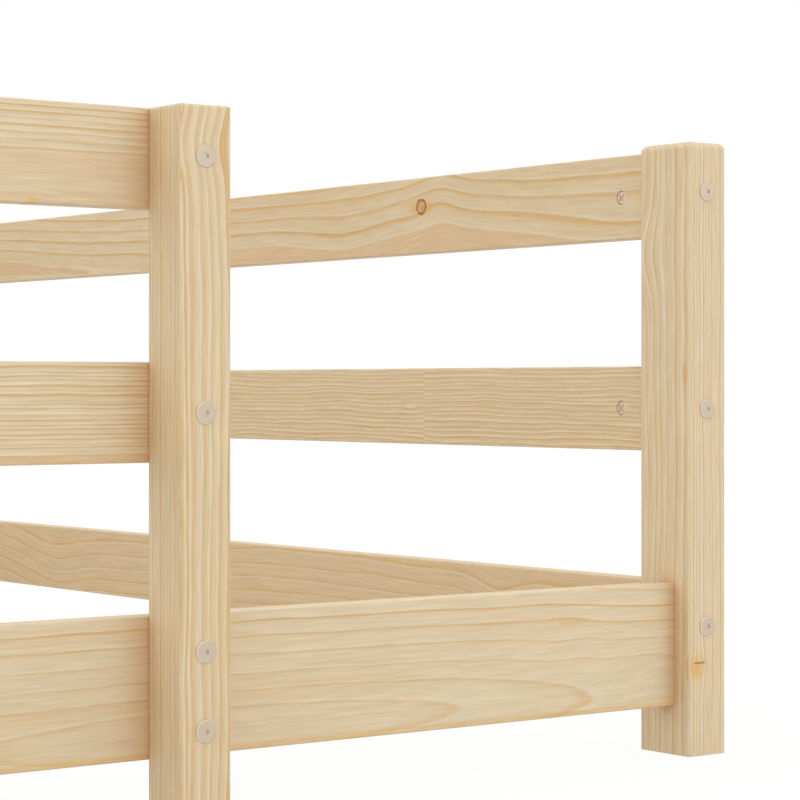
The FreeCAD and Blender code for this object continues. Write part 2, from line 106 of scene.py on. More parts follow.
# %% Helpers for patterns
def step(tree, value, low, high):
    """A smooth rise from 0 at low to 1 at high, or a fall where low is the larger."""
    if low > high:
        return calc(tree, "SUBTRACT", 1.0, step(tree, value, high, low))
    inputs = {0: value, 1: low, 2: high}
    return put(tree, "ShaderNodeMapRange", inputs, interpolation_type="SMOOTHSTEP").outputs[0]


def blend(tree, factor, first, second):
    """A mix of two colours."""
    return put(tree, "ShaderNodeMix", {0: factor, 6: first, 7: second}, data_type="RGBA").outputs[2]


def noise(tree, position, scale, detail=2.0, shift=(0.0, 0.0, 0.0)):
    """Noise between 0 and 1, whose scale differs along each axis."""
    place = vector_calc(tree, "MULTIPLY_ADD", position, scale, shift)
    return put(tree, "ShaderNodeTexNoise", {"Vector": place, "Scale": 1.0, "Detail": detail}).outputs[0]


def triple(tree, first, second, third):
    """Three numbers as one vector."""
    return put(tree, "ShaderNodeCombineXYZ", {0: first, 1: second, 2: third}).outputs[0]


def parts_of(tree, vector):
    """The three numbers of a vector."""
    return put(tree, "ShaderNodeSeparateXYZ", {0: vector}).outputs


def paint(red, green, blue):
    """A colour as a paint program shows it, from 0 to 255, turned into amounts of light."""
    def to_light(level):
        share = level / 255
        return share / 12.92 if share <= 0.04045 else ((share + 0.055) / 1.055) ** 2.4
    return to_light(red), to_light(green), to_light(blue), 1.0


print("helpers for patterns are ready")

# %% [markdown]
# ## Helpers for materials and node groups
# A new material comes with one shader, which its tree has to feed. An effect that several materials share
# is a node group: a small tree with named sockets that is built once and placed wherever it is needed, with
# other values each time.

# %% Helpers for materials and groups
def new_material(name):
    """A material with nodes, its tree and its shader."""
    material = bpy.data.materials.new(name)
    material.use_nodes = True
    tree = material.node_tree
    return material, tree, tree.nodes["Principled BSDF"]


def new_group(name, takes, gives):
    """An empty node group with its sockets; the sockets are given as names and kinds."""
    tree = bpy.data.node_groups.new(name, "ShaderNodeTree")
    for label, kind in takes.items():
        tree.interface.new_socket(label, in_out="INPUT", socket_type="NodeSocket" + kind)
    for label, kind in gives.items():
        tree.interface.new_socket(label, in_out="OUTPUT", socket_type="NodeSocket" + kind)
    return tree, tree.nodes.new("NodeGroupInput").outputs, tree.nodes.new("NodeGroupOutput").inputs


def use_group(tree, group, inputs):
    """Place a group in a tree and feed it."""
    return put(tree, "ShaderNodeGroup", inputs, node_tree=group).outputs


print("helpers for materials and groups are ready")

# %% [markdown]
# ## The floor and the white room
# The bed stands on a plain white studio floor that runs out of the picture. To the camera, the floor and
# the room behind it are white; to the bed they are only as bright as soft daylight. The Light Path node
# tells the two apart. The camera sees the floor in a paler colour, and most of that as a plain white glow.
# The small rest is real shading, so the bed still casts a faint shadow.

# %% Studio floor
FLOOR_HALF_SIZE = 30.0
FLOOR_COLOUR = paint(204, 203, 201)
FLOOR_SEEN = paint(246, 246, 245)
FLOOR_ROUGHNESS = 0.9
WHITE = (1.0, 1.0, 1.0, 1.0)
WHITENESS = 0.92


def seen_as_white(tree):
    """1 where the camera, a reflection or a view through glass meets the surface."""
    path = put(tree, "ShaderNodeLightPath").outputs
    seen = calc(tree, "MAXIMUM", path["Is Camera Ray"], path["Is Glossy Ray"])
    return calc(tree, "MAXIMUM", seen, path["Is Transmission Ray"])


mesh = bpy.data.meshes.new("studio_floor")
sheet = bmesh.new()
bmesh.ops.create_grid(sheet, x_segments=1, y_segments=1, size=FLOOR_HALF_SIZE)
sheet.to_mesh(mesh)
sheet.free()
floor = bpy.data.objects.new("studio_floor", mesh)
scene.collection.objects.link(floor)

material, tree, shader = new_material("studio_floor")
seen = seen_as_white(tree)
tree.links.new(blend(tree, seen, FLOOR_COLOUR, FLOOR_SEEN), shader.inputs["Base Color"])
shader.inputs["Roughness"].default_value = FLOOR_ROUGHNESS
shader.inputs["Specular IOR Level"].default_value = 0.0
glow = put(tree, "ShaderNodeEmission", {"Color": WHITE})
share = calc(tree, "MULTIPLY", seen, WHITENESS)
mix = put(tree, "ShaderNodeMixShader", {0: share, 1: shader.outputs[0], 2: glow.outputs[0]})
tree.links.new(mix.outputs[0], tree.nodes["Material Output"].inputs["Surface"])
mesh.materials.append(material)
print("floor in metres:", 2 * FLOOR_HALF_SIZE)

# %% [markdown]
# The room is the world around the scene. It lights the bed evenly from all sides, and the camera sees it
# as white.

# %% White room
ROOM_LIGHT = 1.17
ROOM_TINT = (1.0, 0.992, 0.975, 1.0)

room = bpy.data.worlds.new("white_room")
room.use_nodes = True
scene.world = room
tree = room.node_tree
light = tree.nodes["Background"]
light.inputs["Color"].default_value = ROOM_TINT
light.inputs["Strength"].default_value = ROOM_LIGHT
backdrop = put(tree, "ShaderNodeBackground", {"Color": WHITE})
mix = put(tree, "ShaderNodeMixShader", {0: seen_as_white(tree), 1: light.outputs[0], 2: backdrop.outputs[0]})
tree.links.new(mix.outputs[0], tree.nodes["World Output"].inputs["Surface"])
print("light of the room:", ROOM_LIGHT)

# %% [markdown]
# ## One soft lamp
# In the picture the faces that look to the front are a little lighter than those that look to the left,
# and the front rails darken softly where they run up to the entry post. One large, weak lamp in front and
# to the right gives both, together with the painted shade in the corners; the room does the rest.

# %% Lamp
LAMP_PLACE = (4.3, -4.9, 2.6)
LAMP_AIM = (0.7, -0.7, 0.3)
LAMP_SIZE = 4.0
LAMP_POWER = 24.0
LAMP_TINT = (0.88, 0.95, 1.0)

lamp_data = bpy.data.lights.new("soft_lamp", "AREA")
lamp_data.size = LAMP_SIZE
lamp_data.energy = LAMP_POWER
lamp_data.color = LAMP_TINT
lamp = bpy.data.objects.new("soft_lamp", lamp_data)
lamp.location = LAMP_PLACE
lamp.rotation_euler = (Vector(LAMP_AIM) - Vector(LAMP_PLACE)).to_track_quat("-Z", "Y").to_euler()
scene.collection.objects.link(lamp)
print("lamp power in watts:", LAMP_POWER)

# %% [markdown]
# ## Growth rings
# A plank shows the tree's growth rings where its faces cut them. A ring is a thin cylinder about the pith,
# the middle of the trunk. So the group works out how far each point lies from the pith line and counts
# rings. The pith line leans a little, which gives the long tongues on a flat-sawn board, and three layers
# of noise make the rings wander, waver and fray. Because this is a solid pattern, it runs on round every
# edge, as in real wood.

# %% Growth rings group
WANDER_SCALE = (3.0, 14.0, 14.0)
WAVER_SCALE = (11.0, 32.0, 32.0)
FRAY_SCALE = (28.0, 700.0, 700.0)
FRAYED = 0.0007
YEARS_SCALE = 0.4


def growth_rings_group():
    tree, take, give = new_group("growth rings", {
        "Position": "Vector", "Pith Across": "Float", "Pith Out": "Float", "Lean Across": "Float",
        "Lean Out": "Float", "Ring Width": "Float", "Phase": "Float", "Wander": "Float", "Waver": "Float",
        "Good Years": "Float", "Seed": "Float",
    }, {"Age": "Float"})
    place, seed = take["Position"], triple(tree, take["Seed"], take["Seed"], take["Seed"])
    axes = parts_of(tree, place)
    pith_across = calc(tree, "MULTIPLY_ADD", axes[0], take["Lean Across"], take["Pith Across"])
    pith_out = calc(tree, "MULTIPLY_ADD", axes[0], take["Lean Out"], take["Pith Out"])
    across = calc(tree, "SUBTRACT", axes[1], pith_across)
    out = calc(tree, "SUBTRACT", axes[2], pith_out)
    radius = calc(tree, "SQRT", calc(tree, "MULTIPLY_ADD", across, across, calc(tree, "MULTIPLY", out, out)))
    for scale, detail, amount in (
        (WANDER_SCALE, 1.0, take["Wander"]), (WAVER_SCALE, 1.0, take["Waver"]), (FRAY_SCALE, 2.0, FRAYED),
    ):
        stray = calc(tree, "SUBTRACT", noise(tree, place, scale, detail, seed), 0.5)
        radius = calc(tree, "MULTIPLY_ADD", stray, amount, radius)
    count = calc(tree, "ADD", calc(tree, "DIVIDE", radius, take["Ring Width"]), take["Phase"])
    # In good years the rings are wide, in lean years they crowd
    years = put(tree, "ShaderNodeTexNoise", {
        "W": calc(tree, "MULTIPLY_ADD", count, YEARS_SCALE, take["Seed"]), "Scale": 1.0, "Detail": 1.0,
    }, noise_dimensions="1D").outputs[0]
    age = calc(tree, "MULTIPLY_ADD", calc(tree, "SUBTRACT", years, 0.5), take["Good Years"], count)
    tree.links.new(age, give["Age"])
    return tree


growth_rings = growth_rings_group()
print("group made:", growth_rings.name)

# %% [markdown]
# ## Knots
# A knot is the root of a branch. Its grain runs out of the plank, so it looks like a small disc with a
# dark rim, and the plank's own grain flows round it as water flows round a stone. The group does both: it
# bends the position that the growth rings read, and it gives masks for the disc, its rim, the warm blush
# around it and a drying crack across it. Their edges are shares of the knot's radius, and noise makes them
# ragged. `From` says how deep in the piece the branch starts.

# %% Knot group
BEND_FADE = 0.010
RAGGED_SCALE = (300.0, 300.0, 60.0)
RAGGED_RIM, RAGGED_CRACK = 0.45, 0.2
DISC_EDGE = (1.08, 0.92)
RIM_INSIDE, RIM_OUTSIDE = (0.66, 0.90), (1.18, 0.98)
BLUSH_FADE = (1.5, 0.4)
CRACK_EDGE, CRACK_END = (0.14, 0.06), (0.7, 0.5)


def knot_group():
    tree, take, give = new_group("knot", {
        "Position": "Vector", "Along": "Float", "Across": "Float", "Radius": "Float", "Reach": "Float",
        "Spread": "Float", "From": "Float",
    }, {"Position": "Vector", "Disc": "Float", "Rim": "Float", "Blush": "Float", "Crack": "Float"})
    axes = parts_of(tree, take["Position"])
    along = calc(tree, "SUBTRACT", axes[0], take["Along"])
    across = calc(tree, "SUBTRACT", axes[1], take["Across"])
    deep = calc(tree, "DIVIDE", calc(tree, "SUBTRACT", axes[2], take["From"]), BEND_FADE)
    here = step(tree, deep, 0.0, 1.0)
    # The grain parts further along the plank than across it
    stretched = calc(tree, "DIVIDE", along, take["Spread"])
    near = calc(tree, "MULTIPLY_ADD", across, across, calc(tree, "MULTIPLY", stretched, stretched))
    reach = calc(tree, "MULTIPLY", take["Reach"], take["Reach"])
    push = calc(tree, "MULTIPLY", calc(tree, "DIVIDE", reach, calc(tree, "ADD", near, reach)), here)
    bent = calc(tree, "MULTIPLY_ADD", across, calc(tree, "SUBTRACT", 1.0, push), take["Across"])
    tree.links.new(triple(tree, axes[0], bent, axes[2]), give["Position"])

    ragged = calc(tree, "SUBTRACT", noise(tree, take["Position"], RAGGED_SCALE, 2.0), 0.5)
    square = calc(tree, "MULTIPLY_ADD", along, along, calc(tree, "MULTIPLY", across, across))
    share = calc(tree, "DIVIDE", calc(tree, "SQRT", square), take["Radius"])
    share = calc(tree, "MULTIPLY_ADD", ragged, RAGGED_RIM, share)
    slit = calc(tree, "DIVIDE", calc(tree, "ABSOLUTE", along), take["Radius"])
    slit = calc(tree, "MULTIPLY_ADD", ragged, RAGGED_CRACK, slit)
    masks = {
        "Disc": step(tree, share, *DISC_EDGE),
        "Rim": calc(tree, "MULTIPLY", step(tree, share, *RIM_INSIDE), step(tree, share, *RIM_OUTSIDE)),
        "Blush": step(tree, calc(tree, "DIVIDE", calc(tree, "SQRT", near), take["Radius"]), *BLUSH_FADE),
        "Crack": calc(tree, "MULTIPLY", step(tree, slit, *CRACK_EDGE), step(tree, share, *CRACK_END)),
    }
    for label, mask in masks.items():
        tree.links.new(calc(tree, "MULTIPLY", mask, here), give[label])
    return tree


knot = knot_group()
print("group made:", knot.name)

# %% [markdown]
# Near a branch the whole stem swells, so all the lines of a plank rise together and sink again. That is a
# soft hump in the position across the grain. It has a place, a length and a height, a width around a middle,
# and a starting depth.

# %% Swell group
def swell_group():
    tree, take, give = new_group("swell", {
        "Position": "Vector", "Along": "Float", "Length": "Float", "Height": "Float", "Middle": "Float",
        "Width": "Float", "From": "Float",
    }, {"Position": "Vector"})
    axes = parts_of(tree, take["Position"])
    along = calc(tree, "DIVIDE", calc(tree, "SUBTRACT", axes[0], take["Along"]), take["Length"])
    aside = calc(tree, "DIVIDE", calc(tree, "SUBTRACT", axes[1], take["Middle"]), take["Width"])
    far = calc(tree, "MULTIPLY_ADD", along, along, calc(tree, "MULTIPLY", aside, aside))
    hump = calc(tree, "EXPONENT", calc(tree, "MULTIPLY", far, -1.0))
    deep = calc(tree, "DIVIDE", calc(tree, "SUBTRACT", axes[2], take["From"]), BEND_FADE)
    hump = calc(tree, "MULTIPLY", hump, step(tree, deep, 0.0, 1.0))
    across = calc(tree, "SUBTRACT", axes[1], calc(tree, "MULTIPLY", hump, take["Height"]))
    tree.links.new(triple(tree, axes[0], across, axes[2]), give["Position"])
    return tree


swell = swell_group()
print("group made:", swell.name)

# %% [markdown]
# ## Worn edges with a painted highlight
# The edges of a plank are eased with a cutter and then rubbed by hands, so the varnish there is thinner.
# The edges are painted paler, partly for that wear and partly as a painted highlight along them. Every
# wooden piece is a long box, so the distance to an edge follows from its half size: on a face one of the
# three gaps to the box is zero, and the middle one of the three is the way to the edge.

# %% Worn and highlighted edges group
RUBBED_SCALE = (60.0, 200.0, 200.0)
RUBBED_RANGE = (0.25, 0.75)
END_SKIN = (0.0008, 0.0002)


def worn_and_highlighted_edges_group():
    tree, take, give = new_group("worn and highlighted edges", {
        "Position": "Vector", "Half Size": "Vector", "Width": "Float",
    }, {"Edge": "Float", "End": "Float"})
    gaps = vector_calc(tree, "SUBTRACT", take["Half Size"], vector_calc(tree, "ABSOLUTE", take["Position"]))
    gap = parts_of(tree, gaps)
    less = calc(tree, "MINIMUM", gap[1], gap[2])
    more = calc(tree, "MAXIMUM", gap[1], gap[2])
    middle = calc(tree, "MAXIMUM", less, calc(tree, "MINIMUM", more, gap[0]))
    # The paler band along the edges is partly wear and partly a painted highlight
    worn_and_highlighted = noise(tree, take["Position"], RUBBED_SCALE, 3.0)
    near = calc(tree, "SUBTRACT", 1.0, calc(tree, "DIVIDE", middle, take["Width"]))
    near = calc(tree, "MAXIMUM", near, 0.0)
    tree.links.new(calc(tree, "MULTIPLY", near, step(tree, worn_and_highlighted, *RUBBED_RANGE)), give["Edge"])
    tree.links.new(step(tree, gap[0], *END_SKIN), give["End"])
    return tree


worn_and_highlighted_edges = worn_and_highlighted_edges_group()
print("group made:", worn_and_highlighted_edges.name)

# %% [markdown]
# ## Painted shade in the corners
# Where two pieces meet, the wood is painted darker and warmer; this is painted shade, which deepens the
# contact shadow there. The Ambient Occlusion node tells how much of the room a point sees. Close to the
# floor the painted shade fades out, so the feet of the posts stay clear of it.

# %% Painted corner shade group
CORNER_REACH = 0.030
CORNER_SEES = (1.0, 0.4)
OFF_FLOOR = (0.5 * CORNER_REACH, 1.2 * CORNER_REACH)


def painted_corner_shade_group():
    tree, take, give = new_group("painted_corner_shade", {"Position": "Vector"}, {"Corner": "Float"})
    # Painted shade: a point that sees little of the room is darkened
    sees = put(tree, "ShaderNodeAmbientOcclusion", {"Distance": CORNER_REACH}).outputs["AO"]
    height = parts_of(tree, take["Position"])[2]
    off_floor = step(tree, height, *OFF_FLOOR)
    tree.links.new(calc(tree, "MULTIPLY", step(tree, sees, *CORNER_SEES), off_floor), give["Corner"])
    return tree


painted_corner_shade = painted_corner_shade_group()
print("group made:", painted_corner_shade.name)

# %% [markdown]
# ## Seasons in the wood
# Each ring starts in spring with pale, soft wood and ends in summer with a thin, hard, orange line. The
# line fades in slowly and stops sharply, which is what makes pine look like pine. Some years leave a strong
# line and others a faint one. Near the pith the heart of the tree is plain and warm, with no lines at all.
# The steps below are shares of a ring, of its summer part or of its spring part; for the heart they count
# rings.

# %% Seasons group
SUMMER_RISE, SUMMER_STOP = (1.0, 0.25), (1.0, 0.97)
SHADE_RISE, SHADE_MOST = (0.3, 0.95), 0.16
SPRING_FADE = (1.0, 0.3)
HEART_EDGE, HEART_FADE = (-0.04, 0.04), (-2.4, -1.7)
FAINTEST_YEAR = 0.3


def seasons_group():
    tree, take, give = new_group("seasons", {
        "Age": "Float", "Spring Share": "Float", "Summer Share": "Float", "Contrast": "Float",
        "Heart": "Float", "Seed": "Float",
    }, {"Spring": "Float", "Summer": "Float", "Heart": "Float"})
    season = calc(tree, "FRACT", take["Age"])
    year = calc(tree, "ADD", calc(tree, "FLOOR", take["Age"]), take["Seed"])
    lot = put(tree, "ShaderNodeTexWhiteNoise", {"W": year}, noise_dimensions="1D")
    chances = parts_of(tree, lot.outputs["Color"])
    past_heart = calc(tree, "SUBTRACT", take["Age"], take["Heart"])
    outside = step(tree, past_heart, *HEART_EDGE)

    late = calc(tree, "DIVIDE", calc(tree, "SUBTRACT", 1.0, season), take["Summer Share"])
    shade = calc(tree, "MULTIPLY", step(tree, season, *SHADE_RISE), SHADE_MOST)
    summer = calc(tree, "MAXIMUM", step(tree, late, *SUMMER_RISE), shade)
    summer = calc(tree, "MULTIPLY", summer, step(tree, season, *SUMMER_STOP))
    spring = step(tree, calc(tree, "DIVIDE", season, take["Spring Share"]), *SPRING_FADE)
    for label, mask, chance in (("Summer", summer, chances[0]), ("Spring", spring, chances[1])):
        strength = calc(tree, "MULTIPLY_ADD", chance, 1.0 - FAINTEST_YEAR, FAINTEST_YEAR)
        strength = calc(tree, "MULTIPLY", strength, take["Contrast"])
        strength = calc(tree, "MULTIPLY", calc(tree, "MINIMUM", strength, 1.0), outside)
        tree.links.new(calc(tree, "MULTIPLY", mask, strength), give[label])
    inside = calc(tree, "SUBTRACT", 1.0, outside)
    tree.links.new(calc(tree, "MULTIPLY", inside, step(tree, past_heart, *HEART_FADE)), give["Heart"])
    return tree


seasons = seasons_group()
print("group made:", seasons.name)

# %% [markdown]
# ## Pine
# These are the colours of planed pine under clear varnish. Over the seasons lie fine fibres along the
# plank, short resin streaks, and broad patches where the whole board is a little warmer. Sawn ends drink
# more varnish, so they are darker.

# %% Colours of pine
SPRING_CREAM = paint(227, 215, 188)
PLAIN_PINE = paint(224, 205, 172)
SUMMER_ORANGE = paint(215, 178, 122)
WARM_PATCH = paint(219, 193, 152)
DEEP_PINE = paint(212, 183, 142)
HEART_TAN = paint(219, 188, 145)
RESIN_BROWN = paint(182, 134, 84)
BLUSH_ORANGE = paint(224, 176, 98)
KNOT_ORANGE = paint(198, 140, 76)
KNOT_PALE = paint(226, 188, 130)
KNOT_RIM = paint(148, 88, 36)
CRACK_BROWN = paint(148, 84, 28)
END_TINT = paint(206, 172, 124)
# Painted shade, laid into the corners where pieces meet
CORNER_SHADE_ORANGE = paint(200, 144, 78)
# Paler edge colour: partly wear, partly a painted highlight
WORN_AND_HIGHLIGHTED_PINE = paint(232, 216, 188)
print("colours of pine are mixed")

# %% [markdown]
# The group lays these colours over each other in the order in which they come about, from the plain wood
# to the paler edge, which is partly wear and partly a painted highlight, and then lays the painted shade in
# the corners over all. It also gives the roughness and the height. The hard summer lines are smoother and
# stand a little proud, as they do on any planed and varnished softwood.

# %% Pine group
FIBRE_SCALE = (34.0, 620.0, 620.0)
STRAND_SCALE = (20.0, 300.0, 300.0)
PATCH_SCALE = (2.2, 30.0, 30.0)
STREAK_SCALE = (45.0, 1500.0, 1500.0)
SPECKLE_SCALE = (800.0, 800.0, 800.0)
PATCH_RANGE, STREAK_RANGE, SPECKLE_RANGE = (0.42, 0.72), (0.70, 0.80), (0.42, 0.58)
FIBRE_TONES = (0.28, 0.34, 0.44)
STRAND_SHARE = 0.5
STRAY_RESIN = 0.15
VARNISH_ROUGHNESS = 0.44


def pine_group():
    tree, take, give = new_group("pine", {
        "Position": "Vector", "Spring": "Float", "Summer": "Float", "Heart": "Float", "Warmth": "Float",
        "Disc": "Float", "Rim": "Float", "Blush": "Float", "Crack": "Float", "Edge": "Float", "End": "Float",
        "Corner": "Float", "Seed": "Float",
    }, {"Color": "Color", "Roughness": "Float", "Height": "Float"})
    place, summer = take["Position"], take["Summer"]
    fibres = noise(tree, place, FIBRE_SCALE, 3.0)
    strands = noise(tree, place, STRAND_SCALE, 3.0)
    patches = noise(tree, place, PATCH_SCALE, 2.0, triple(tree, take["Seed"], 0.0, take["Seed"]))
    streaks = noise(tree, place, STREAK_SCALE, 1.0)
    speckles = noise(tree, place, SPECKLE_SCALE, 2.0)

    resin = step(tree, streaks, *STREAK_RANGE)
    resin = calc(tree, "MULTIPLY", resin, calc(tree, "ADD", summer, STRAY_RESIN))
    knot_wood = blend(tree, step(tree, speckles, *SPECKLE_RANGE), KNOT_ORANGE, KNOT_PALE)
    colour = PLAIN_PINE
    for mask, most, over in (
        (take["Warmth"], 1.0, DEEP_PINE),
        (step(tree, patches, *PATCH_RANGE), 0.6, WARM_PATCH),
        (take["Heart"], 1.0, HEART_TAN),
        (take["Spring"], 0.95, SPRING_CREAM),
        (summer, 1.0, SUMMER_ORANGE),
        (resin, 0.45, RESIN_BROWN),
        (take["Blush"], 0.7, BLUSH_ORANGE),
        (take["Disc"], 0.9, knot_wood),
        (take["Rim"], 0.9, KNOT_RIM),
        (take["Crack"], 0.85, CRACK_BROWN),
        (take["End"], 0.5, END_TINT),
        # Paler edges: partly wear, partly a painted highlight
        (take["Edge"], 0.35, WORN_AND_HIGHLIGHTED_PINE),
        # Painted shade in the corners, where pieces meet
        (take["Corner"], 0.4, CORNER_SHADE_ORANGE),
    ):
        colour = blend(tree, calc(tree, "MULTIPLY", mask, most), colour, over)
    # Dark fibres are browner, pale ones creamier
    coarse = calc(tree, "SUBTRACT", strands, 0.5)
    stray = calc(tree, "MULTIPLY_ADD", coarse, STRAND_SHARE, calc(tree, "SUBTRACT", fibres, 0.5))
    tones = [calc(tree, "MULTIPLY_ADD", stray, amount, 1.0) for amount in FIBRE_TONES]
    tree.links.new(vector_calc(tree, "MULTIPLY", colour, triple(tree, *tones)), give["Color"])

    rough = VARNISH_ROUGHNESS
    for mask, change in ((fibres, 0.12), (summer, -0.07), (take["End"], 0.15), (take["Edge"], -0.08)):
        rough = calc(tree, "MULTIPLY_ADD", mask, change, rough)
    tree.links.new(rough, give["Roughness"])
    height = 0.0
    for mask, change in ((summer, 0.05), (fibres, 0.03), (take["Rim"], -0.06), (take["Crack"], -0.2)):
        height = calc(tree, "MULTIPLY_ADD", mask, change, height)
    tree.links.new(height, give["Height"])
    return tree


pine = pine_group()
print("group made:", pine.name)

# %% [markdown]
# ## How each piece was sawn
# No two pieces of wood are alike, so every post and plank gets its own place in the tree. The pith lies
# so far across and so far out from the piece's middle; close behind the face it gives a flat-sawn board
# with a plain middle, and far to one side it gives fine straight lines. A cut also says which share of a
# ring is early, pale wood and which is late, dark wood, how strongly the lines show, also on the sides,
# and where along the piece its plain heart starts. All sizes are in metres.

# %% Cuts
NO_HEART = -100.0
THROUGH = -10.0
SUMMER_LINE, MOST_SUMMER = 0.0034, 0.42
SPRING_LINE, MOST_SPRING = 0.0018, 0.36


@dataclass
class Cut:
    """Where in the tree a piece was sawn, and what disturbs its grain."""
    pith: tuple
    ring: float
    wander: float = 0.004
    waver: float = 0.003
    lean: tuple = (0.0, 0.0)
    phase: float = 0.0
    good_years: float = 0.8
    contrast: float = 1.4
    side_contrast: float = 1.0
    early: float = None
    late: float = None
    heart: float = NO_HEART
    heart_warmth: float = 0.5
    heart_start: float = THROUGH
    warmth: float = 0.0
    knots: tuple = ()
    swells: tuple = ()
    glue_joint: float = None

    def __post_init__(self):
        """Lines have a usual width, so they take a smaller share of a wider ring."""
        self.early = self.early or min(MOST_SPRING, SPRING_LINE / self.ring)
        self.late = self.late or min(MOST_SUMMER, SUMMER_LINE / self.ring)


print("a piece is described by its cut")

# %% [markdown]
# What disturbs the grain is described in the same way: a dataclass lists the values under their names, and
# most of them have a usual value. A hidden knot lies just under the face, so that the grain bends and the
# wood blushes, but there is no disc with a rim.

# %% Knots and swells
EVERYWHERE = 10.0


@dataclass
class Knot:
    """A knot's place along and across its piece, how far it parts the grain, and how much of it shows."""
    along: float
    across: float
    radius: float
    reach: float
    spread: float = 2.5
    disc: float = 1.0
    rim: float = 1.0
    blush: float = 1.0
    crack: float = 0.0
    start: float = THROUGH
    on_side: bool = False

    def shows(self):
        """How strongly each of its masks shows."""
        return {"Disc": self.disc, "Rim": self.rim, "Blush": self.blush, "Crack": self.crack}


def hidden_knot(*place, **others):
    """A knot just under the face."""
    return Knot(*place, disc=0.0, rim=0.0, **others)


@dataclass
class Swell:
    """A hump in the grain: its place along the piece, its length and height, and its reach across."""
    along: float
    length: float
    height: float
    middle: float = 0.0
    width: float = EVERYWHERE
    start: float = THROUGH
    on_side: bool = False


print("a cut can hold knots and swells")

# %% [markdown]
# These are the planks that the picture shows, each sawn as it is there: the top end rail has a ripe knot
# in a swelling, the middle one a glued joint, and the side board long tongues. The streak of resin along
# the board's lower edge is a hidden knot too, one that is stretched far along the plank.

# %% Planks in the picture
CUTS = {
    "front_top_rail": Cut(
        (-0.022, -0.019), 0.00387, 0.002, 0.001, phase=0.414, good_years=0.2, contrast=1.15, late=0.5,
        heart=9.55, heart_warmth=0.45, knots=[hidden_knot(0.642, -0.0355, 0.0042, 0.004, 1.1)]),
    "front_middle_rail": Cut(
        (-0.150, -0.020), 0.0033, 0.005, 0.003, good_years=1.8, contrast=1.5, late=0.5, heart=37.8,
        heart_warmth=1.0),
    "front_side_board": Cut(
        (-0.035, 0.0563), 0.0120, 0.003, 0.004, lean=(0.0, -0.0834), phase=0.542, good_years=0.3,
        contrast=1.2, late=0.22, heart=1.6, heart_warmth=0.1,
        knots=[hidden_knot(0.890, 0.024, 0.002, 0.005, 4.0, blush=0.6),
               hidden_knot(0.500, -0.0475, 0.0022, 0.0004, 400.0, blush=0.7)],
        swells=[Swell(0.906, 0.020, 0.0035, middle=0.003, width=0.016),
                Swell(1.0, 0.055, 0.011, middle=-0.012, width=0.016)]),
    "right_end_top_rail": Cut(
        (-0.035, -0.0081), 0.0117, 0.003, 0.003, lean=(0.0, -0.012), phase=-0.188, good_years=0.2,
        contrast=1.6, late=0.36, heart=2.0, heart_warmth=0.75, heart_start=-0.03, warmth=0.2,
        knots=[Knot(0.370, 0.008, 0.0070, 0.006)],
        swells=[Swell(0.400, 0.100, 0.008), Swell(0.400, 0.030, 0.007), Swell(-0.50, 0.22, 0.016),
                Swell(0.245, 0.07, -0.008, middle=-0.020, width=0.028),
                Swell(0.67, 0.12, -0.012, middle=-0.022, width=0.017),
                Swell(0.70, 0.25, 0.004, middle=0.035, width=0.010)]),
    "right_end_middle_rail": Cut(
        (-0.060, -0.021), 0.0037, 0.007, 0.007, contrast=1.4, warmth=0.45, glue_joint=0.3746,
        knots=[hidden_knot(0.355, 0.0, 0.002, 0.003, 4.0, blush=0.0)]),
    "right_end_bottom_rail": Cut(
        (0.045, -0.016), 0.0123, 0.006, 0.004, phase=0.293, good_years=0.3, contrast=1.5, warmth=0.6,
        swells=[Swell(-0.46, 0.07, 0.014), Swell(-0.312, 0.055, -0.009), Swell(0.20, 0.22, 0.0095),
                Swell(0.485, 0.034, -0.011)]),
}
print("planks sawn as in the picture:", len(CUTS))

# %% [markdown]
# On a post two faces show at once, so the way to the pith lies aslant. The entry post's grain leans to
# the left where it passes the top bolt. On the corner post's left face the lines are drawn to the back
# edge at one place. Near the foot of its front face two hidden knots make a warm patch, and the second one
# has a drying crack.

# %% Posts in the picture
CUTS["entry_post"] = Cut(
    (0.133, -0.2115), 0.0033, 0.002, 0.003, phase=0.3, good_years=1.5, contrast=1.1, side_contrast=0.65,
    early=0.24, late=0.75, swells=[Swell(-0.2204, 0.0225, -0.0067, start=0.010)])
CUTS["front_right_corner_post"] = Cut(
    (0.182, 0.082), 0.0032, 0.003, 0.003, good_years=1.2, contrast=1.2, side_contrast=0.7, warmth=0.22,
    swells=[Swell(-0.159, 0.034, -0.013, middle=-0.029, width=0.022, start=0.004, on_side=True)],
    knots=[
        hidden_knot(-0.062, 0.024, 0.003, 0.003, start=0.0, on_side=True),
        hidden_knot(0.1785, -0.0125, 0.0085, 0.005, 1.1, start=0.018),
        hidden_knot(0.1745, -0.0095, 0.0075, 0.002, 1.2, blush=0.5, crack=0.8, start=0.018),
    ])
print("pieces sawn as in the picture:", len(CUTS))

# %% [markdown]
# The pieces that the picture does not show are drawn by lot. The lots have a fixed seed, so they fall the
# same way in every run, and each of those pieces gets its own pith, rings and one or two knots.

# %% Cuts of the other pieces
LOT_SEED = 7
KNOT_RADII, KNOT_RIMS = (0.004, 0.009), (0.3, 1.0)
KNOT_ALONG, KNOT_ACROSS = (-0.85, 0.85), (-0.6, 0.6)
KNOT_REACH, KNOT_SPREAD = 1.5, 3.0
PITH_ASIDE, PITH_DEPTHS = (0.6, 2.4), (-0.06, -0.012)
SWELL_LENGTH, SWELL_HEIGHT = 0.07, -0.008
LEANS_ACROSS, LEANS_OUT = (-0.01, 0.01), (-0.02, 0.02)
RING_WIDTHS, WANDERS = (0.0032, 0.0095), (0.003, 0.010)

lots = random.Random(LOT_SEED)


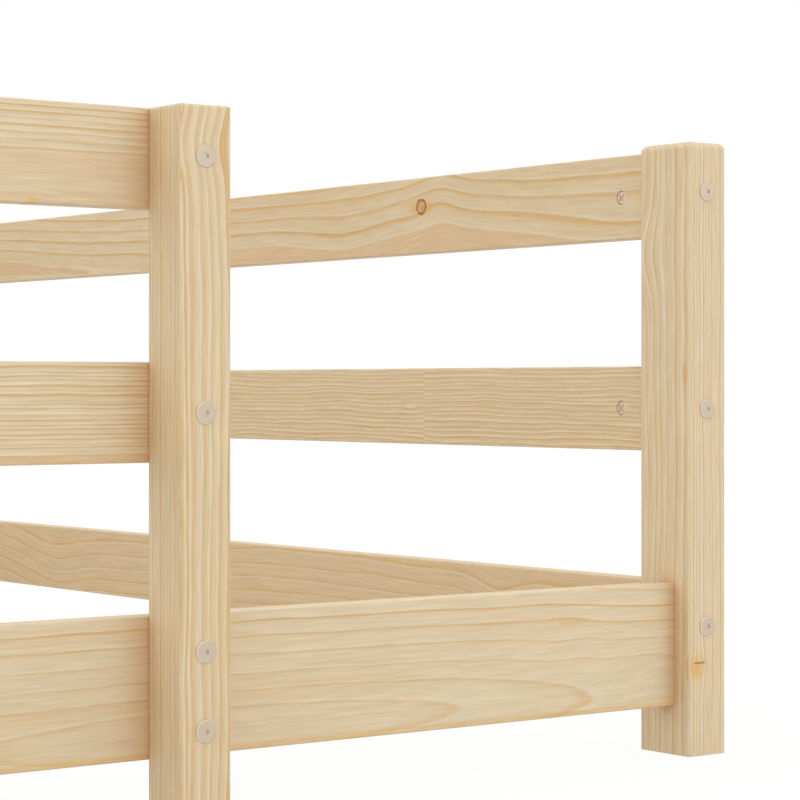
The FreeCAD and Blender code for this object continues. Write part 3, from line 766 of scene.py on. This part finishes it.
def drawn_knot(half_length, half_height):
    """A ripe knot somewhere on a plank, clear of its ends and edges."""
    radius = lots.uniform(*KNOT_RADII)
    along = lots.uniform(*KNOT_ALONG) * half_length
    across = lots.uniform(*KNOT_ACROSS) * half_height
    rim = lots.uniform(*KNOT_RIMS)
    return Knot(along, across, radius, KNOT_REACH * radius, KNOT_SPREAD, rim=rim)


def drawn_cut(half_length, half_height):
    """A cut at a drawn place in the tree."""
    side = lots.choice((-1, 1))
    pith = (side * lots.uniform(*PITH_ASIDE) * half_height, lots.uniform(*PITH_DEPTHS))
    knots = [drawn_knot(half_length, half_height) for _ in range(lots.randint(1, 2))]
    swells = [Swell(spot.along, SWELL_LENGTH, side * SWELL_HEIGHT) for spot in knots]
    lean = (lots.uniform(*LEANS_ACROSS), lots.uniform(*LEANS_OUT))
    ring = lots.uniform(*RING_WIDTHS)
    wander = lots.uniform(*WANDERS)
    return Cut(pith, ring, wander, lean=lean, knots=knots, swells=swells)


wooden = sorted(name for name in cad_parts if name.endswith(("post", "rail", "board")))
print("wooden pieces:", len(wooden))

# %% [markdown]
# ## A material for every piece of wood
# The Mapping node carries the pattern to each piece: it sets the middle of the piece as zero and turns the
# pattern so that its first axis runs along the grain, its second across the face that shows, and its third
# out of that face.

# %% Grain directions
DOWN, UP = Vector((0, 0, -1)), Vector((0, 0, 1))
LEFT, RIGHT = Vector((-1, 0, 0)), Vector((1, 0, 0))
FORWARD = Vector((0, -1, 0))


def grain_axes(name):
    """The ways that run along, across and out of a piece."""
    if name.endswith("post"):
        return DOWN, RIGHT, FORWARD
    if "_end_" in name:
        return FORWARD, UP, LEFT
    return RIGHT, UP, FORWARD


def measures(name):
    """The middle of a piece, its turn, and its half size along, across and out."""
    low, high = (Vector(corner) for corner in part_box(name))
    turn = Matrix(grain_axes(name)).transposed()
    half = turn.transposed() @ ((high - low) / 2)
    return (low + high) / 2, turn, Vector(abs(length) for length in half)


print("a post's grain runs along", tuple(grain_axes("entry_post")[0]))

# %% [markdown]
# Knots and swells come before the rings, because the rings read the position that they have bent. A knot or
# a swell on the left face of a post is the same group, read as if one stood before that face.

# %% Bent grain
GLUE_JUMP = 0.009


def past_glue_joint(tree, position, place):
    """Past a glued joint the plank is another piece of the tree."""
    past = calc(tree, "GREATER_THAN", parts_of(tree, position)[0], place)
    jump = triple(tree, past, calc(tree, "MULTIPLY", past, GLUE_JUMP), 0.0)
    return vector_calc(tree, "ADD", position, jump)


def to_left_face(tree, position):
    """The position as seen by someone who stands before the left face."""
    axes = parts_of(tree, position)
    return triple(tree, axes[0], axes[2], calc(tree, "MULTIPLY", axes[1], -1.0))


def from_left_face(tree, position):
    """The way back from there."""
    axes = parts_of(tree, position)
    return triple(tree, axes[0], calc(tree, "MULTIPLY", axes[2], -1.0), axes[1])


def bent_by(tree, group, position, on_side, inputs):
    """The position bent by a knot or a swell, and all that the group gives."""
    start = to_left_face(tree, position) if on_side else position
    made = use_group(tree, group, {"Position": start, **inputs})
    bent = from_left_face(tree, made["Position"]) if on_side else made["Position"]
    return bent, made


def bent_grain(tree, position, cut):
    """The bent position in a piece, and the masks of all its knots together."""
    masks = {"Disc": 0.0, "Rim": 0.0, "Blush": 0.0, "Crack": 0.0}
    for spot in cut.knots:
        position, made = bent_by(tree, knot, position, spot.on_side, {
            "Along": spot.along, "Across": spot.across, "Radius": spot.radius, "Reach": spot.reach,
            "Spread": spot.spread, "From": spot.start,
        })
        for key, strength in spot.shows().items():
            if strength:
                masks[key] = calc(tree, "MAXIMUM", calc(tree, "MULTIPLY", made[key], strength), masks[key])
    for hump in cut.swells:
        position, _ = bent_by(tree, swell, position, hump.on_side, {
            "Along": hump.along, "Length": hump.length, "Height": hump.height, "Middle": hump.middle,
            "Width": hump.width, "From": hump.start,
        })
    return position, masks


print("grain can be bent")

# %% [markdown]
# With the groups made, the material of a piece is short: bent grain, rings, seasons, edges and pine follow
# each other and feed one shader.

# %% Pine material
EDGE_WIDTH = 0.004
CREAMY_RING = 0.0055
HEART_TAPER = 0.06
GRAIN_DEPTH, GRAIN_STRENGTH = 0.001, 0.6
VARNISH_SPECULAR = 0.35


def contrast_of(tree, cut, across):
    """How strongly the seasons show, which may differ on the faces to the sides."""
    normal = put(tree, "ShaderNodeNewGeometry").outputs["True Normal"]
    facing = put(tree, "ShaderNodeVectorMath", {0: normal, 1: across}, operation="DOT_PRODUCT")
    to_side = calc(tree, "ABSOLUTE", facing.outputs["Value"])
    lost = cut.contrast * (1.0 - cut.side_contrast)
    return calc(tree, "SUBTRACT", cut.contrast, calc(tree, "MULTIPLY", to_side, lost))


def heart_of(tree, cut, position):
    """How many rings the heart takes; before its start along the piece it is one ring smaller."""
    along = parts_of(tree, position)[0]
    full = step(tree, along, cut.heart_start - HEART_TAPER, cut.heart_start + HEART_TAPER)
    return calc(tree, "ADD", full, cut.heart - 1.0)


def pine_material(name, cut, seed):
    middle, turn, half = measures(name)
    material, tree, shader = new_material(f"pine_{name}")
    in_bed = put(tree, "ShaderNodeTexCoord").outputs["Object"]
    centred = put(tree, "ShaderNodeMapping", {
        "Vector": in_bed, "Location": middle, "Rotation": turn.to_euler(),
    }, vector_type="TEXTURE").outputs[0]
    position = centred
    if cut.glue_joint is not None:
        position = past_glue_joint(tree, position, cut.glue_joint)
    position, masks = bent_grain(tree, position, cut)
    rings = use_group(tree, growth_rings, {
        "Position": position, "Pith Across": cut.pith[0], "Pith Out": cut.pith[1],
        "Lean Across": cut.lean[0], "Lean Out": cut.lean[1], "Ring Width": cut.ring, "Phase": cut.phase,
        "Wander": cut.wander, "Waver": cut.waver, "Good Years": cut.good_years, "Seed": seed,
    })
    year = use_group(tree, seasons, {
        "Age": rings["Age"], "Spring Share": cut.early, "Summer Share": cut.late, "Seed": seed,
        "Contrast": contrast_of(tree, cut, grain_axes(name)[1]), "Heart": heart_of(tree, cut, position),
    })
    edges = use_group(tree, worn_and_highlighted_edges, {"Position": centred, "Half Size": half, "Width": EDGE_WIDTH})
    wood = use_group(tree, pine, {
        "Position": position, "Summer": year["Summer"],
        "Spring": calc(tree, "MULTIPLY", year["Spring"], min(1.0, CREAMY_RING / cut.ring)),
        "Heart": calc(tree, "MULTIPLY", year["Heart"], cut.heart_warmth), "Warmth": cut.warmth,
        "Edge": edges["Edge"], "End": edges["End"], "Seed": seed,
        # The painted shade in the corners
        "Corner": use_group(tree, painted_corner_shade, {"Position": in_bed})["Corner"], **masks,
    })
    bump = put(tree, "ShaderNodeBump", {
        "Height": wood["Height"], "Distance": GRAIN_DEPTH, "Strength": GRAIN_STRENGTH,
    })
    tree.links.new(wood["Color"], shader.inputs["Base Color"])
    tree.links.new(wood["Roughness"], shader.inputs["Roughness"])
    tree.links.new(bump.outputs[0], shader.inputs["Normal"])
    shader.inputs["Specular IOR Level"].default_value = VARNISH_SPECULAR
    return material


print("the pine material is ready")

# %% [markdown]
# Now every post and plank is dressed: a material goes into the slot of the construction model's own mesh,
# and the mesh itself stays as it is.

# %% Dress the wood
SEED_STEP = 3.7


def dress(name, material):
    """Give a node of the bed its finish."""
    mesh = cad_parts[name].data
    mesh.materials.clear()
    mesh.materials.append(material)


for number, name in enumerate(wooden):
    half = measures(name)[2]
    cut = CUTS.get(name) or drawn_cut(half[0], half[1])
    dress(name, pine_material(name, cut, SEED_STEP * number))
print("wooden pieces dressed:", len(wooden))

# %% [markdown]
# ## Bolts and nuts
# The fasteners are steel with a pale satin plating. Its warm tint is a painted reflection of the wood around
# it. The plating is a little cloudy and finely scratched, which noise gives to the roughness and the bump.
# The chamfers are painted paler, partly as rubbed wear and partly as a painted highlight. Every flat of a
# fastener faces along an axis, so a chamfer is where the largest part of the normal is well below one. The
# nuts get a paler copy of the bolts' plating, painted light so that they read brighter where they face
# away from the lamp.

# %% Plated steel
# The warm tint of these plating colours is a painted reflection of the wood around them
BOLT_SHADE, BOLT_PLATING = paint(201, 183, 161), paint(210, 194, 174)
# Painted light: a paler copy of the plating, so the nuts read brighter where they face away from the lamp
NUT_SHADE_PAINTED_LIGHTER, NUT_PLATING_PAINTED_LIGHTER = paint(219, 198, 173), paint(229, 211, 189)
# Paler chamfer colour: partly rubbed wear, partly a painted highlight
PLATING_WORN_AND_HIGHLIGHT = paint(230, 219, 204)
CLOUD_SCALE = (400.0, 400.0, 400.0)
SCRATCH_SCALE = (900.0, 900.0, 5000.0)
SCRATCH_DEPTH, SCRATCH_STRENGTH = 0.00003, 0.4
CHAMFER_RANGE, CHAMFER_WORN_AND_HIGHLIGHT = (0.95, 0.8), 0.8
PLATING_ROUGHNESS, SCRATCH_ROUGHER, RUBBED_SMOOTHER = 0.30, 0.2, -0.08
PLATING_METALLIC = 0.7


def plated_steel_material(name, shade, plating):
    material, tree, shader = new_material(name)
    position = put(tree, "ShaderNodeTexCoord").outputs["Object"]
    clouds = noise(tree, position, CLOUD_SCALE, 3.0)
    scratches = noise(tree, position, SCRATCH_SCALE, 2.0)
    normal = put(tree, "ShaderNodeNewGeometry").outputs["True Normal"]
    facing = parts_of(tree, vector_calc(tree, "ABSOLUTE", normal))
    flat = calc(tree, "MAXIMUM", calc(tree, "MAXIMUM", facing[0], facing[1]), facing[2])
    # Chamfers are painted paler: partly wear, partly a painted highlight
    worn_and_highlighted = calc(tree, "MULTIPLY", step(tree, flat, *CHAMFER_RANGE), CHAMFER_WORN_AND_HIGHLIGHT)
    colour = blend(tree, clouds, shade, plating)
    tree.links.new(blend(tree, worn_and_highlighted, colour, PLATING_WORN_AND_HIGHLIGHT), shader.inputs["Base Color"])
    rough = calc(tree, "MULTIPLY_ADD", scratches, SCRATCH_ROUGHER, PLATING_ROUGHNESS)
    rough = calc(tree, "MULTIPLY_ADD", worn_and_highlighted, RUBBED_SMOOTHER, rough)
    tree.links.new(rough, shader.inputs["Roughness"])
    bump = put(tree, "ShaderNodeBump", {
        "Height": scratches, "Distance": SCRATCH_DEPTH, "Strength": SCRATCH_STRENGTH,
    })
    tree.links.new(bump.outputs[0], shader.inputs["Normal"])
    shader.inputs["Metallic"].default_value = PLATING_METALLIC
    return material


bolt_steel = plated_steel_material("plated_steel_bolts", BOLT_SHADE, BOLT_PLATING)
# The nuts get the paler copy of the plating, which is painted light
nut_steel_painted_lighter = plated_steel_material("plated_steel_nuts_painted_lighter", NUT_SHADE_PAINTED_LIGHTER, NUT_PLATING_PAINTED_LIGHTER)
metal = [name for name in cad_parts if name.endswith(("bolts", "nuts"))]
for name in metal:
    dress(name, nut_steel_painted_lighter if name.endswith("nuts") else bolt_steel)
print("groups of fasteners dressed:", len(metal))

# %% [markdown]
# ## Dowels
# The dowels inside the joints are bare hardwood, turned from straight-grained stock.

# %% Dowel wood
DOWEL_PALE = paint(216, 190, 152)
DOWEL_DARK = paint(186, 148, 104)
DOWEL_SCALE = (300.0, 300.0, 1200.0)
DOWEL_ROUGHNESS, DOWEL_ROUGHER = 0.6, 0.15
DOWEL_DEPTH, DOWEL_STRENGTH = 0.0001, 0.5


def dowel_material():
    material, tree, shader = new_material("dowel_wood")
    position = put(tree, "ShaderNodeTexCoord").outputs["Object"]
    fibres = noise(tree, position, DOWEL_SCALE, 4.0)
    tree.links.new(blend(tree, fibres, DOWEL_DARK, DOWEL_PALE), shader.inputs["Base Color"])
    rough = calc(tree, "MULTIPLY_ADD", fibres, DOWEL_ROUGHER, DOWEL_ROUGHNESS)
    tree.links.new(rough, shader.inputs["Roughness"])
    bump = put(tree, "ShaderNodeBump", {
        "Height": fibres, "Distance": DOWEL_DEPTH, "Strength": DOWEL_STRENGTH,
    })
    tree.links.new(bump.outputs[0], shader.inputs["Normal"])
    return material


dowel_wood = dowel_material()
dowels = [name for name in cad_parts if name.endswith("dowels")]
for name in dowels:
    dress(name, dowel_wood)
print("groups of dowels dressed:", len(dowels))
